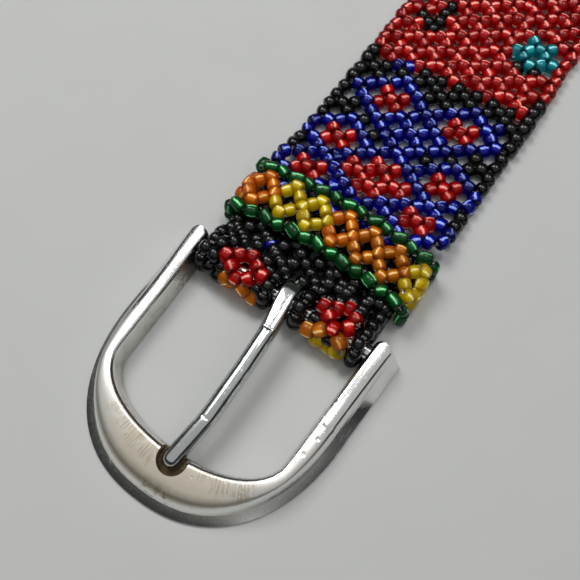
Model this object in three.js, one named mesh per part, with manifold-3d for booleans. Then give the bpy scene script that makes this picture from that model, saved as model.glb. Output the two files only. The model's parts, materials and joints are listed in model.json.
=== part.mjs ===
// Beaded belt, buckle end: a cast horseshoe buckle with a round bar, its prong, the net of
// seed beads that folds round the bar, and the keeper band sewn round the fold.
// Millimetres, +Z up. X runs along the buckle's bar and Y along the strap, away from the
// buckle. Everything is drawn from the bar's axis, at Y = 0, and the whole is then set with
// its origin at the middle of its base.
import * as THREE from "three";
import { mergeVertices } from "three/addons/utils/BufferGeometryUtils.js";
import Module from "manifold-3d";

const wasm = await Module();
wasm.setup();

// Beadwork
const strapWidth = 39.5;
const netThickness = 2.2;
const strapReach = 106;
const foldReach = 24.2;
const foldEndGap = 0.6;
const layerGap = 0.3;
const foldSqueeze = 1.6;
const lobeSqueeze = 2.1;
const rampLength = 10;
const scallopPitch = 5.3;
const scallopDepth = 1.1;
const netSkew = 0.08;

// Slot between the two lobes, for the prong
const slotWidth = 6.8;
const slotOffset = 0.6;
const slotRear = 4.8;
const slotCorner = 1.5;

// Keeper band
const bandStart = 10.2;
const bandLength = 13.5;
const bandBow = 1.7;
const bandPitch = 5.85;
const bandScallop = 0.7;
const bandRound = 3;

// Buckle bar and clearances
const barRadius = 1.4;
const turnGap = 0.3;
const armGap = 0.6;
const seatGap = 0.3;

// Buckle frame
const frontReach = 43.2;
const frontWidth = 9.6;
const armWidth = 5.4;
const armSplay = 1.0;
const crestHeight = 5.3;
const rimDraft = 0.7;
const rimRoll = 1.2;
const footBevel = 0.5;
const crownSlope = 0.2;
const crownPower = 8;
const edgeHeight = 1.5;
const edgeInset = 1.6;
const lugReach = 2.6;
const lugCover = 0.7;
const lugEdgeRise = 2.6;
const lugBlend = 15;
const cornerRound = 1;
const rimCornerRound = 0.4;
const outerPower = 2.27;
const innerPower = 2.05;
const outerRise = 28.9;
const innerRise = 9.3;

// Notch for the prong's tip
const notchWidth = 5.6;
const notchOffset = 2.2;
const notchRun = 1.2;

// Prong
const prongDiameter = 3.4;
const prongOffset = 1;
const prongLean = 1.6;
const prongBow = 1.2;
const curlWidth = 3.2;
const curlThickness = 1.6;
const curlGap = 0.8;
const curlSweep = 285;
const tipSeat = 2.8;
const tipDrop = 2.2;
const kneeReach = 6.8;
const bendReach = 26;

// Derived places
const loopRadius = barRadius + turnGap;
const barHeight = loopRadius + netThickness;
const foldHalf = strapWidth / 2 - foldSqueeze;
const lobeHalf = strapWidth / 2 - lobeSqueeze;
const footHalf = lobeHalf + armGap;
const rimHalf = footHalf + rimDraft;
const lugHeight = barHeight + barRadius + lugCover;
const rimFront = frontReach - frontWidth;
const upperMid = netThickness * 1.5 + layerGap;
const lowerMid = netThickness / 2;
const curlRadius = barRadius + curlGap + curlThickness / 2;
const tipReach = rimFront + tipSeat;
const tipHeight = barHeight + curlRadius - tipDrop;

const finishes = {
  frame: new THREE.MeshStandardMaterial({ color: 0xc9c5bd, roughness: 0.28, metalness: 1 }),
  prong: new THREE.MeshStandardMaterial({ color: 0xd3d5d6, roughness: 0.12, metalness: 1 }),
  strap: new THREE.MeshStandardMaterial({ color: 0x14208f, roughness: 0.25, metalness: 0 }),
  band: new THREE.MeshStandardMaterial({ color: 0xc58a12, roughness: 0.25, metalness: 0 }),
};

// A closed geometry as a solid that can be joined and cut.
function solidOf(geometry) {
  const bare = geometry.clone();
  bare.deleteAttribute("normal");
  bare.deleteAttribute("uv");
  const merged = mergeVertices(bare, 1e-4);
  return new wasm.Manifold(
    new wasm.Mesh({
      numProp: 3,
      vertProperties: new Float32Array(merged.attributes.position.array),
      triVerts: new Uint32Array(merged.index.array),
    }),
  );
}

// A solid as a named mesh.
function meshOf(solid, name, material) {
  const made = solid.getMesh();
  const geometry = new THREE.BufferGeometry();
  geometry.setAttribute("position", new THREE.BufferAttribute(made.vertProperties, 3));
  geometry.setIndex(new THREE.BufferAttribute(made.triVerts, 1));
  geometry.computeVertexNormals();
  const mesh = new THREE.Mesh(geometry, material);
  mesh.name = name;
  return mesh;
}

// A closed skin over rings of points, each end closed by a fan round its middle.
function loft(rings) {
  const count = rings[0].length;
  const points = rings.flat();
  const index = [];
  for (let r = 0; r + 1 < rings.length; r++) {
    for (let i = 0; i < count; i++) {
      const a = r * count + i;
      const b = r * count + ((i + 1) % count);
      index.push(a, b, b + count, a, b + count, a + count);
    }
  }
  const close = (start, first, second) => {
    const ring = points.slice(start, start + count);
    const middle = ring.reduce((sum, p) => sum.add(p), new THREE.Vector3());
    const hub = points.push(middle.divideScalar(count)) - 1;
    for (let i = 0; i < count; i++) {
      const corner = [start + i, start + ((i + 1) % count)];
      index.push(hub, corner[first], corner[second]);
    }
  };
  close(0, 1, 0);
  close((rings.length - 1) * count, 0, 1);
  const geometry = new THREE.BufferGeometry().setFromPoints(points);
  geometry.setIndex(index);
  return geometry;
}

// A plan outline raised from one height to another.
function standing(shape, low, high) {
  const geometry = new THREE.ExtrudeGeometry(shape, {
    depth: high - low,
    bevelEnabled: false,
    curveSegments: 12,
  });
  return solidOf(geometry.translate(0, 0, low));
}

// A side outline, drawn in Y and Z, run across the belt.
function across(shape, half) {
  const geometry = new THREE.ExtrudeGeometry(shape, { depth: 2 * half, bevelEnabled: false });
  const turn = new THREE.Matrix4().makeBasis(
    new THREE.Vector3(0, 1, 0),
    new THREE.Vector3(0, 0, 1),
    new THREE.Vector3(1, 0, 0),
  );
  return solidOf(geometry.applyMatrix4(turn).translate(-half, 0, 0));
}

const ease = (t) => {
  const s = THREE.MathUtils.clamp(t, 0, 1);
  return s * s * (3 - 2 * s);
};

// Buckle frame outlines: a superellipse at the front runs into arms that splay towards the bar.
function outline(half, front, rise, power, splay) {
  const turnY = -(front - rise);
  const armLength = lugReach - turnY;
  return {
    // Half width at a place on the straight arm.
    armAt: (y) => half - splay * (1 - (y - turnY) / armLength),
    turnY,
    // Where a ray from the frame's middle line meets the outline.
    hit(origin, angle) {
      const base = half - splay;
      const inside = (r) => {
        const x = r * Math.cos(angle);
        const y = origin + r * Math.sin(angle);
        if (y > turnY) return x < this.armAt(y);
        return (x / base) ** power + ((turnY - y) / rise) ** power < 1;
      };
      let near = 0;
      let far = 2 * front;
      for (let i = 0; i < 40; i++) {
        const mid = (near + far) / 2;
        if (inside(mid)) near = mid;
        else far = mid;
      }
      return new THREE.Vector2(near * Math.cos(angle), origin + near * Math.sin(angle));
    },
  };
}

const rimOutline = outline(rimHalf, rimFront, innerRise, innerPower, armSplay);
const edgeOutline = outline(rimHalf + armWidth, frontReach, outerRise, outerPower, armSplay / 2);

// The roll along the inner rim: places across it and below its crest, as shares of its width.
const rollShape = [
  { across: -0.08, below: 0.92 },
  { across: 0.12, below: 0.38 },
  { across: 0.5, below: 0.08 },
  { across: 1, below: 0 },
];

// Places across the crown, closer together where it turns down at its outer edge.
const crownShares = [0.3, 0.55, 0.72, 0.84, 0.93, 1];

// One cross section of the casting, from its rim to its outer edge.
function frameRing(rim, edge, side) {
  const width = rim.distanceTo(edge);
  const out = edge.clone().sub(rim).divideScalar(width);
  const lug = ease(1 + (rim.y - lugReach) / lugBlend);
  const crest = crestHeight + (lugHeight - crestHeight) * lug;
  const crease = edgeHeight + lugEdgeRise * lug;
  const section = [
    [footBevel - rimDraft, 0],
    [-rimDraft, footBevel],
    ...rollShape.map(({ across, below }) => [across * rimRoll, crest - below * rimRoll]),
  ];
  const crownWidth = width - edgeInset - rimRoll;
  const brow = crest - crease - crownSlope * crownWidth;
  for (const t of crownShares) {
    const height = crest - crownSlope * crownWidth * t - brow * t ** crownPower;
    section.push([rimRoll + crownWidth * t, height]);
  }
  section.push([width, footBevel], [width - footBevel, 0]);
  return section.map(
    ([u, z]) => new THREE.Vector3(side * (rim.x + out.x * u), rim.y + out.y * u, z),
  );
}

// The rings of one half, from the arm's end to the middle of the front.
function halfFrame(side) {
  const pairs = [];
  const armSteps = 9;
  const frontSteps = 22;
  const middle = edgeOutline.turnY;
  for (const along of [0, 0.35]) {
    const y = lugReach - along * cornerRound;
    const inset = 1 - Math.sqrt(1 - (1 - along) ** 2);
    pairs.push([
      new THREE.Vector2(rimOutline.armAt(y) + inset * rimCornerRound, y),
      new THREE.Vector2(edgeOutline.armAt(y) - inset * cornerRound, y),
    ]);
  }
  for (let i = 0; i < armSteps; i++) {
    const y = lugReach - cornerRound + ((middle - lugReach + cornerRound) * i) / armSteps;
    pairs.push([
      new THREE.Vector2(rimOutline.armAt(y), y),
      new THREE.Vector2(edgeOutline.armAt(y), y),
    ]);
  }
  for (let i = 0; i <= frontSteps; i++) {
    const angle = (-Math.PI / 2) * (i / frontSteps);
    pairs.push([rimOutline.hit(middle, angle), edgeOutline.hit(middle, angle)]);
  }
  return pairs.map(([rim, edge]) => frameRing(rim, edge, side));
}

// The U-shaped notch that the prong's tip lies in, open to the inside of the frame.
function notchCutter() {
  const radius = notchWidth / 2;
  const end = -(tipReach + notchRun - radius);
  const shape = new THREE.Shape();
  shape.moveTo(notchOffset + radius, -rimFront + frontWidth);
  shape.lineTo(notchOffset - radius, -rimFront + frontWidth);
  shape.lineTo(notchOffset - radius, end);
  shape.absarc(notchOffset, end, radius, Math.PI, 2 * Math.PI, false);
  const floor = tipHeight - prongDiameter / 2 - seatGap;
  return standing(shape, floor, crestHeight + frontWidth);
}

function buckleFrame() {
  const left = halfFrame(-1);
  const right = halfFrame(1).reverse();
  const casting = solidOf(loft([...left, ...right.slice(1)]));
  const barEnd = rimHalf + armWidth / 2;
  const bar = new THREE.CylinderGeometry(barRadius, barRadius, 2 * barEnd, 20);
  bar.rotateZ(Math.PI / 2).translate(0, 0, barHeight);
  return casting.add(solidOf(bar)).subtract(notchCutter());
}

// The prong's centre line, from the end of the curl to the tip. Each row says how flat the metal
// is there, 1 as flat as the curl and 0 a round rod, and how much of the sideways bow it has.
function prongLine() {
  const curlSteps = 14;
  const curl = Array.from({ length: curlSteps }, (_, i) => {
    const angle = THREE.MathUtils.degToRad(curlSweep * (1 - i / curlSteps));
    return {
      reach: -curlRadius * Math.sin(angle),
      height: barHeight + curlRadius * Math.cos(angle),
      flat: 1,
      bow: 0,
      size: 1,
    };
  });
  const shank = [
    { reach: 0, drop: 0, flat: 1, bow: 0 },
    { reach: 0.35 * kneeReach, drop: 0.01, flat: 0.92, bow: 0.25 },
    { reach: 0.75 * kneeReach, drop: 0.1, flat: 0.67, bow: 0.58 },
    { reach: kneeReach, drop: 0.22, flat: 0.45, bow: 0.76 },
    { reach: 1.25 * kneeReach, drop: 0.28, flat: 0, bow: 0.86 },
    { reach: 0.6 * bendReach, drop: 0.45, flat: 0, bow: 1 },
    { reach: bendReach, drop: 0.62, flat: 0, bow: 0.94 },
    { reach: tipReach - prongDiameter / 2, drop: 1, flat: 0, bow: 0 },
  ].map(({ drop, ...row }) => ({
    ...row,
    height: barHeight + curlRadius - drop * tipDrop,
    size: 1,
  }));
  const tip = [35, 62, 82].map((angle) => {
    const turn = THREE.MathUtils.degToRad(angle);
    const reach = tipReach - (prongDiameter / 2) * (1 - Math.sin(turn));
    return { reach, height: tipHeight, flat: 0, bow: 0, size: Math.cos(turn) };
  });
  return [...curl, ...shank, ...tip];
}

// The prong as rings square to its centre line, round on the rod and flat on the curl.
function prong() {
  const line = prongLine();
  const sides = 14;
  const rings = line.map((here, i) => {
    const before = line[Math.max(i - 1, 0)];
    const after = line[Math.min(i + 1, line.length - 1)];
    const along = new THREE.Vector2(after.reach - before.reach, after.height - before.height);
    along.normalize();
    const width = here.size * THREE.MathUtils.lerp(prongDiameter, curlWidth, here.flat);
    const thick = here.size * THREE.MathUtils.lerp(prongDiameter, curlThickness, here.flat);
    const power = 1 - here.flat / 2;
    return Array.from({ length: sides }, (_, k) => {
      const angle = (2 * Math.PI * (k + 0.5)) / sides;
      const c = Math.cos(angle);
      const s = Math.sin(angle);
      const side = (width / 2) * Math.sign(c) * Math.abs(c) ** power;
      const x = prongBow * here.bow + side;
      const n = (thick / 2) * Math.sign(s) * Math.abs(s) ** power;
      return new THREE.Vector3(x, -(here.reach - along.y * n), here.height + along.x * n);
    });
  });
  const geometry = loft(rings);
  geometry.rotateZ(THREE.MathUtils.degToRad(prongLean)).translate(prongOffset, 0, 0);
  return solidOf(geometry);
}

// The middle of the bead net seen from the side: from the far end over the bar and back under.
function netLine() {
  const line = [new THREE.Vector2(strapReach, lowerMid)];
  const steps = 10;
  const slope = (from, to, low, high) => {
    for (let i = 0; i <= steps; i++) {
      const t = i / steps;
      line.push(new THREE.Vector2(from + (to - from) * t, low + (high - low) * ease(t)));
    }
  };
  const top = barHeight + loopRadius + netThickness / 2;
  const rampStart = foldReach + foldEndGap;
  slope(rampStart + rampLength, rampStart, lowerMid, upperMid);
  slope(bandStart - bandBow - layerGap, 0, upperMid, top);
  const arcSteps = 16;
  const radius = loopRadius + netThickness / 2;
  for (let i = 1; i <= arcSteps; i++) {
    const angle = Math.PI / 2 + (Math.PI * i) / arcSteps;
    line.push(new THREE.Vector2(radius * Math.cos(angle), barHeight + radius * Math.sin(angle)));
  }
  line.push(new THREE.Vector2(foldReach, lowerMid));
  return line;
}

// A line thickened to both sides into a closed outline.
function ribbon(line, thickness) {
  const offset = (side) =>
    line.map((p, i) => {
      const before = line[Math.max(i - 1, 0)];
      const after = line[Math.min(i + 1, line.length - 1)];
      const along = after.clone().sub(before).normalize();
      const out = new THREE.Vector2(-along.y, along.x);
      return p.clone().addScaledVector(out, (side * thickness) / 2);
    });
  return new THREE.Shape([...offset(1), ...offset(-1).reverse()]);
}

// Half the strap's width along its length, with the scallops of the net's edge.
function strapHalfAt(y, side) {
  const folded = lobeHalf + (foldHalf - lobeHalf) * ease((y - slotRear) / (bandStart - slotRear));
  const widen = ease((y - bandStart - bandLength) / rampLength);
  const phase = (y - side * netSkew * (strapWidth / 2)) / scallopPitch;
  const scallop = scallopDepth * (Math.abs(Math.sin(Math.PI * phase)) - 1);
  return folded + (strapWidth / 2 - foldHalf + scallop) * widen;
}

function strapPlan() {
  const front = -(barHeight + netThickness);
  const step = scallopPitch / 6;
  const ys = [front, slotRear];
  for (let y = slotRear + step; y < strapReach; y += step) ys.push(y);
  ys.push(strapReach);
  const right = ys.map((y) => new THREE.Vector2(strapHalfAt(y, 1), y));
  const left = ys.map((y) => new THREE.Vector2(-strapHalfAt(y, -1), y));
  return new THREE.Shape([...right, ...left.reverse()]);
}

// The slot that parts the fold into two lobes, with rounded rear corners.
function slotCutter() {
  const left = slotOffset - slotWidth / 2;
  const right = slotOffset + slotWidth / 2;
  const front = -2 * barHeight;
  const turn = slotRear - slotCorner;
  const shape = new THREE.Shape();
  shape.moveTo(left, front);
  shape.lineTo(right, front);
  shape.lineTo(right, turn);
  shape.absarc(right - slotCorner, turn, slotCorner, 0, Math.PI / 2, false);
  shape.absarc(left + slotCorner, turn, slotCorner, Math.PI / 2, Math.PI, false);
  return standing(shape, -netThickness, 2 * barHeight + netThickness);
}

function strap() {
  const net = across(ribbon(netLine(), netThickness), strapWidth);
  const plan = standing(strapPlan(), -netThickness, 2 * barHeight + netThickness);
  return net.intersect(plan).subtract(slotCutter());
}

// The band over the fold, down round both of its edges to the surface the belt lies on.
function keeperBand() {
  const innerHalf = foldHalf + layerGap;
  const innerTop = 2 * netThickness + 2 * layerGap;
  const outerHalf = innerHalf + netThickness;
  const outerTop = innerTop + netThickness;
  const section = new THREE.Shape();
  section.moveTo(outerHalf, 0);
  section.lineTo(outerHalf, outerTop - bandRound);
  section.absarc(outerHalf - bandRound, outerTop - bandRound, bandRound, 0, Math.PI / 2, false);
  section.absarc(bandRound - outerHalf, outerTop - bandRound, bandRound, Math.PI / 2, Math.PI, false);
  section.lineTo(-outerHalf, 0);
  section.lineTo(-innerHalf, 0);
  section.lineTo(-innerHalf, innerTop);
  section.lineTo(innerHalf, innerTop);
  section.lineTo(innerHalf, 0);
  const geometry = new THREE.ExtrudeGeometry(section, {
    depth: bandLength + 2 * bandBow,
    bevelEnabled: false,
    curveSegments: 6,
  });
  geometry.rotateX(Math.PI / 2).translate(0, bandStart + bandLength + bandBow / 2, 0);
  return solidOf(geometry).intersect(bandPlan(outerHalf, outerTop));
}

// The band's scalloped edges in plan, bowed away from the buckle in the middle and drawn a little
// past its sides.
function bandPlan(half, top) {
  const margin = 1;
  const reach = half + margin;
  const count = Math.ceil((2 * reach) / (bandPitch / 8));
  const edge = Array.from({ length: count + 1 }, (_, i) => {
    const x = reach * ((2 * i) / count - 1);
    const inset = bandScallop * (1 - Math.abs(Math.sin((Math.PI * x) / bandPitch)));
    const start = bandStart - bandBow * (x / half) ** 2;
    return { x, near: start + inset, far: start + bandLength - inset };
  });
  const near = edge.map((p) => new THREE.Vector2(p.x, p.near));
  const far = edge.map((p) => new THREE.Vector2(p.x, p.far));
  return standing(new THREE.Shape([...near, ...far.reverse()]), -margin, top + margin);
}

const belt = new THREE.Group();
belt.add(meshOf(buckleFrame(), "buckle_frame", finishes.frame));
belt.add(meshOf(prong(), "prong", finishes.prong));
belt.add(meshOf(strap(), "strap", finishes.strap));
belt.add(meshOf(keeperBand(), "keeper_band", finishes.band));
belt.position.y = -(strapReach - frontReach) / 2;

export default belt;
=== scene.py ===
"""Buckle end of a netted bead belt: the seed-bead net, its folded lobes, the keeper band and the
cast buckle with its prong, dressed and lit for a view from above.

Lengths in the classes are millimetres. Along the strap they are counted from the buckle's bar.
"""
import json
import logging
import math
import random
from collections.abc import Iterable
from dataclasses import dataclass, field
from enum import Enum

import bmesh
import bpy
from mathutils import Matrix, Vector
from mathutils.kdtree import KDTree


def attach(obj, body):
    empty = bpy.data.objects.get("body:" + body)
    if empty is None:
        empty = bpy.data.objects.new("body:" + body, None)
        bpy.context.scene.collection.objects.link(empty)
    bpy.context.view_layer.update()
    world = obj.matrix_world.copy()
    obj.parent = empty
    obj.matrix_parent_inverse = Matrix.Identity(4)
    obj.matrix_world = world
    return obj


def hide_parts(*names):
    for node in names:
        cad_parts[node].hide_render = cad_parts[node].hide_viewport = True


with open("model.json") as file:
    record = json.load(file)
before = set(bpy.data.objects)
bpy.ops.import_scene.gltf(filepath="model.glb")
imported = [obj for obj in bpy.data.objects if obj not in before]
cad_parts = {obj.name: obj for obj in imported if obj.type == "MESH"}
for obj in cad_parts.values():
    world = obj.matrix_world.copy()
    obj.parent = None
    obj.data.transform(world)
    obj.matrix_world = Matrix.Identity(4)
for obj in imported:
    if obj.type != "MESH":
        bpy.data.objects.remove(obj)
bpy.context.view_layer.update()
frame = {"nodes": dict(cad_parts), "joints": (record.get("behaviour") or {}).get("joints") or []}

log = logging.getLogger("beaded_belt")

MM = 0.001
BAR_Y = frame["joints"][0]["pos_m"][1] / MM
BAR_Z = frame["joints"][0]["pos_m"][2] / MM

Socket = bpy.types.NodeSocket
Value = Socket | float | tuple[float, ...]


class Glass(Enum):
    """Seed beads in the belt, by the record's material slot."""

    BLUE = "bead_blue"
    RED = "bead_red"
    ORANGE = "bead_orange"
    AMBER = "bead_amber"
    YELLOW = "bead_yellow"
    GREEN = "bead_green"
    TEAL = "bead_teal"
    BLACK = "bead_black"


def smooth_step(t: float) -> float:
    """Ease from 0 to 1."""
    s = min(max(t, 0.0), 1.0)
    return s * s * (3 - 2 * s)


@dataclass
class Graph:
    """Short way to write a shader or group tree.

    Args:
        tree: the tree that the nodes go into.
    """

    tree: bpy.types.NodeTree

    def node(self, kind: str, inputs: dict[str | int, Value] | None = None, **settings: object) -> bpy.types.Node:
        """Add a node.

        Args:
            kind: Blender's name of the node's class.
            inputs: a socket to join or a value to set, by the input's name or place.
            settings: the node's own properties.

        Returns:
            The new node.
        """
        made = self.tree.nodes.new(kind)
        for name, value in settings.items():
            setattr(made, name, value)
        for name, value in (inputs or {}).items():
            if isinstance(value, bpy.types.NodeSocket):
                self.tree.links.new(value, made.inputs[name])
            else:
                made.inputs[name].default_value = value
        return made

    def math(self, operation: str, *values: Value, clamp: bool = False) -> Socket:
        """One sum on numbers; returns its result."""
        made = self.node("ShaderNodeMath", dict(enumerate(values)), operation=operation, use_clamp=clamp)
        return made.outputs[0]

    def ramp(self, value: Value, low: float, high: float) -> Socket:
        """A smooth mask that is 0 at low and 1 at high."""
        inputs = {"Value": value, "From Min": low, "From Max": high}
        return self.node("ShaderNodeMapRange", inputs, interpolation_type="SMOOTHSTEP").outputs[0]

    def mix(self, share: Value, first: Value, second: Value, blend: str = "MIX") -> Socket:
        """Two colours mixed by a share; returns the colour."""
        made = self.node("ShaderNodeMix", data_type="RGBA", blend_type=blend)
        for place, value in zip((0, 6, 7), (share, first, second)):
            if isinstance(value, bpy.types.NodeSocket):
                self.tree.links.new(value, made.inputs[place])
            else:
                made.inputs[place].default_value = value
        return made.outputs[2]

    def noise(self, place: Value, scale: float, detail: float = 2.0, rough: float = 0.5) -> Socket:
        """Noise between 0 and 1 at a place."""
        inputs = {"Vector": place, "Scale": scale, "Detail": detail, "Roughness": rough}
        return self.node("ShaderNodeTexNoise", inputs).outputs["Fac"]

    def group(self, name: str, **inputs: Value) -> bpy.types.Node:
        """Place a shared effect; underscores in the inputs' names stand for spaces."""
        made = self.tree.nodes.new("ShaderNodeGroup")
        made.node_tree = bpy.data.node_groups[name]
        for key, value in inputs.items():
            socket = made.inputs[key.replace("_", " ")]
            if isinstance(value, bpy.types.NodeSocket):
                self.tree.links.new(value, socket)
            else:
                socket.default_value = value
        return made


def shared_effect(name: str, inputs: dict[str, tuple[str, object]], outputs: dict[str, str]) -> tuple[Graph, dict, dict]:
    """Start a shader node group.

    Args:
        name: the group's name.
        inputs: for each input its kind, Float, Color or Vector, and default.
        outputs: each output's kind.

    Returns:
        The group's graph, its inputs' sockets and the group output's sockets, both by name.
    """
    tree = bpy.data.node_groups.new(name, "ShaderNodeTree")
    for label, (kind, default) in inputs.items():
        made = tree.interface.new_socket(label, in_out="INPUT", socket_type="NodeSocket" + kind)
        if default is not None:
            made.default_value = default
    for label, kind in outputs.items():
        tree.interface.new_socket(label, in_out="OUTPUT", socket_type="NodeSocket" + kind)
    source = tree.nodes.new("NodeGroupInput")
    target = tree.nodes.new("NodeGroupOutput")
    return Graph(tree), dict(source.outputs.items()), dict(target.inputs.items())


@dataclass(frozen=True)
class SharedEffects:
    """Shader node groups that more than one finish uses."""

    lining: str = "Painted lining highlights"
    scuffs: str = "Scuffs and pits"
    brushing: str = "Brushed across"
    stain: str = "Stain"
    dent: str = "Dent"

    def build(self) -> None:
        """Make every group once."""
        self.build_lining_highlights()
        self.build_scuffs()
        self.build_brushing()
        self.build_stain()
        self.build_dent()

    def build_lining_highlights(self) -> None:
        """Painted highlight streaks along a bead, standing in for lamps seen in its silvered hole, painted brightening
        round them, and painted shade towards its ends.
        """
        graph, given, out = shared_effect(
            self.lining,
            {"Streaks": ("Float", 3.0), "Width": ("Float", 0.1), "Tone": ("Float", 0.5)},
            {"Streak": "Float", "Glow": "Float", "Ends": "Float"},
        )
        uv = graph.node("ShaderNodeUVMap", uv_map="around")
        split = graph.node("ShaderNodeSeparateXYZ", {0: uv.outputs[0]})
        around, along = split.outputs[0], split.outputs[1]
        wobble = graph.noise(uv.outputs[0], 5.0, 1.0)
        bent = graph.math("ADD", around, graph.math("MULTIPLY", graph.math("SUBTRACT", wobble, 0.5), 0.06))
        # With three streaks a third of a turn apart, one lies on the bead's outward side: a painted highlight where
        # lamps above would glint in the lining.
        spread = graph.math("MULTIPLY", graph.math("SUBTRACT", bent, 0.25), given["Streaks"])
        turned = graph.math("FRACT", graph.math("ADD", spread, 4.5))
        off = graph.math("ABSOLUTE", graph.math("SUBTRACT", turned, 0.5))
        line = graph.math("SUBTRACT", 1.0, graph.math("DIVIDE", off, given["Width"]), clamp=True)
        from_middle = graph.math("ABSOLUTE", graph.math("SUBTRACT", along, 0.5))
        window = graph.math("SUBTRACT", 1.0, graph.ramp(from_middle, 0.22, 0.40))
        streak = graph.math("MULTIPLY", graph.ramp(line, 0.0, 0.6), window)
        # Painted brightening, strongest at the highlight streaks and fading between them.
        glow = graph.math("SUBTRACT", 1.0, graph.math("MULTIPLY", off, 2.0), clamp=True)
        graph.tree.links.new(streak, out["Streak"])
        soft = graph.math("MULTIPLY", glow, graph.math("MULTIPLY", window, given["Tone"]))
        graph.tree.links.new(soft, out["Glow"])
        # Painted shade towards the bead's ends.
        graph.tree.links.new(graph.ramp(from_middle, 0.24, 0.5), out["Ends"])

    def build_scuffs(self) -> None:
        """Fine scratches in two directions and small pits, as a mask and a height."""
        graph, given, out = shared_effect(
            self.scuffs,
            {"Place": ("Vector", None), "Amount": ("Float", 0.5), "Pits": ("Float", 0.5)},
            {"Mask": "Float", "Height": "Float"},
        )
        lines = []
        for turn, stretch in ((0.6, (1.0, 0.05, 1.0)), (-0.9, (0.06, 1.0, 1.0))):
            turned = graph.node("ShaderNodeMapping", {"Vector": given["Place"], "Rotation": (0, 0, turn), "Scale": stretch})
            lines.append(graph.ramp(graph.noise(turned.outputs[0], 5200.0, 2.0, 0.6), 0.62, 0.72))
        scratch = graph.math("MULTIPLY", graph.math("MAXIMUM", *lines), given["Amount"])
        cells = graph.node("ShaderNodeTexVoronoi", {"Vector": given["Place"], "Scale": 620.0, "Randomness": 1.0})
        spots = graph.math("SUBTRACT", 1.0, graph.ramp(cells.outputs["Distance"], 0.05, 0.22))
        few = graph.ramp(graph.noise(given["Place"], 260.0, 1.0), 0.55, 0.62)
        pit = graph.math("MULTIPLY", graph.math("MULTIPLY", spots, few), given["Pits"])
        graph.tree.links.new(graph.math("MAXIMUM", scratch, pit), out["Mask"])
        depth = graph.math("ADD", graph.math("MULTIPLY", scratch, 0.35), pit)
        graph.tree.links.new(graph.math("SUBTRACT", 1.0, depth), out["Height"])

    def build_brushing(self) -> None:
        """Brush lines that run across the flange, from the rim to the outer edge."""
        graph, given, out = shared_effect(
            self.brushing,
            {"Place": ("Vector", None), "Centre": ("Vector", (0.0, 0.0, 0.0))},
            {"Lines": "Float", "Bands": "Float"},
        )
        moved = graph.node("ShaderNodeVectorMath", {0: given["Place"], 1: given["Centre"]}, operation="SUBTRACT")
        split = graph.node("ShaderNodeSeparateXYZ", {0: moved.outputs[0]})
        angle = graph.math("ARCTAN2", split.outputs[0], graph.math("MULTIPLY", split.outputs[1], -1.0))
        reach = graph.node("ShaderNodeVectorMath", {0: moved.outputs[0]}, operation="LENGTH").outputs["Value"]
        fine = graph.node("ShaderNodeCombineXYZ", {0: graph.math("MULTIPLY", angle, 30.0), 1: graph.math("MULTIPLY", reach, 60.0)})
        graph.tree.links.new(graph.noise(fine.outputs[0], 3.0, 4.0, 0.7), out["Lines"])
        wide = graph.node("ShaderNodeCombineXYZ", {0: graph.math("MULTIPLY", angle, 5.0), 1: graph.math("MULTIPLY", reach, 130.0)})
        graph.tree.links.new(graph.noise(wide.outputs[0], 1.0, 2.0, 0.5), out["Bands"])

    def build_stain(self) -> None:
        """A mottled patch round a place on the surface."""
        graph, given, out = shared_effect(
            self.stain,
            {"Place": ("Vector", None), "Spot": ("Vector", (0.0, 0.0, 0.0)), "Radius": ("Float", 0.004)},
            {"Mask": "Float"},
        )
        away = graph.node("ShaderNodeVectorMath", {0: given["Place"], 1: given["Spot"]}, operation="DISTANCE")
        share = graph.math("DIVIDE", away.outputs["Value"], given["Radius"])
        mottle = graph.noise(given["Place"], 900.0, 3.0, 0.65)
        rough = graph.math("ADD", share, graph.math("MULTIPLY", graph.math("SUBTRACT", mottle, 0.5), 1.6))
        graph.tree.links.new(graph.math("SUBTRACT", 1.0, graph.ramp(rough, 0.45, 1.0)), out["Mask"])

    def build_dent(self) -> None:
        """A small dent or nick at a place on the surface, as a mask."""
        graph, given, out = shared_effect(
            self.dent,
            {"Place": ("Vector", None), "Spot": ("Vector", (0.0, 0.0, 0.0)), "Size": ("Vector", (0.001, 0.001, 0.001))},
            {"Mask": "Float"},
        )
        away = graph.node("ShaderNodeVectorMath", {0: given["Place"], 1: given["Spot"]}, operation="SUBTRACT")
        share = graph.node("ShaderNodeVectorMath", {0: away.outputs[0], 1: given["Size"]}, operation="DIVIDE")
        far = graph.node("ShaderNodeVectorMath", {0: share.outputs[0]}, operation="LENGTH").outputs["Value"]
        graph.tree.links.new(graph.math("SUBTRACT", 1.0, graph.ramp(far, 0.3, 1.0)), out["Mask"])


EFFECTS = SharedEffects()
FINISHES: dict[str, bpy.types.Material] = {}


def start_material(slot: str) -> tuple[bpy.types.Material, Graph, bpy.types.Node]:
    """A material with an empty Principled shader, kept in FINISHES for its slot.

    Args:
        slot: the record's material slot that it dresses.

    Returns:
        The material, its graph and the shader node.
    """
    material = bpy.data.materials.new(slot + "_finish")
    material.use_nodes = True
    tree = material.node_tree
    shader = next(n for n in tree.nodes if n.type == "BSDF_PRINCIPLED")
    FINISHES[slot] = material
    return material, Graph(tree), shader


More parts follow.
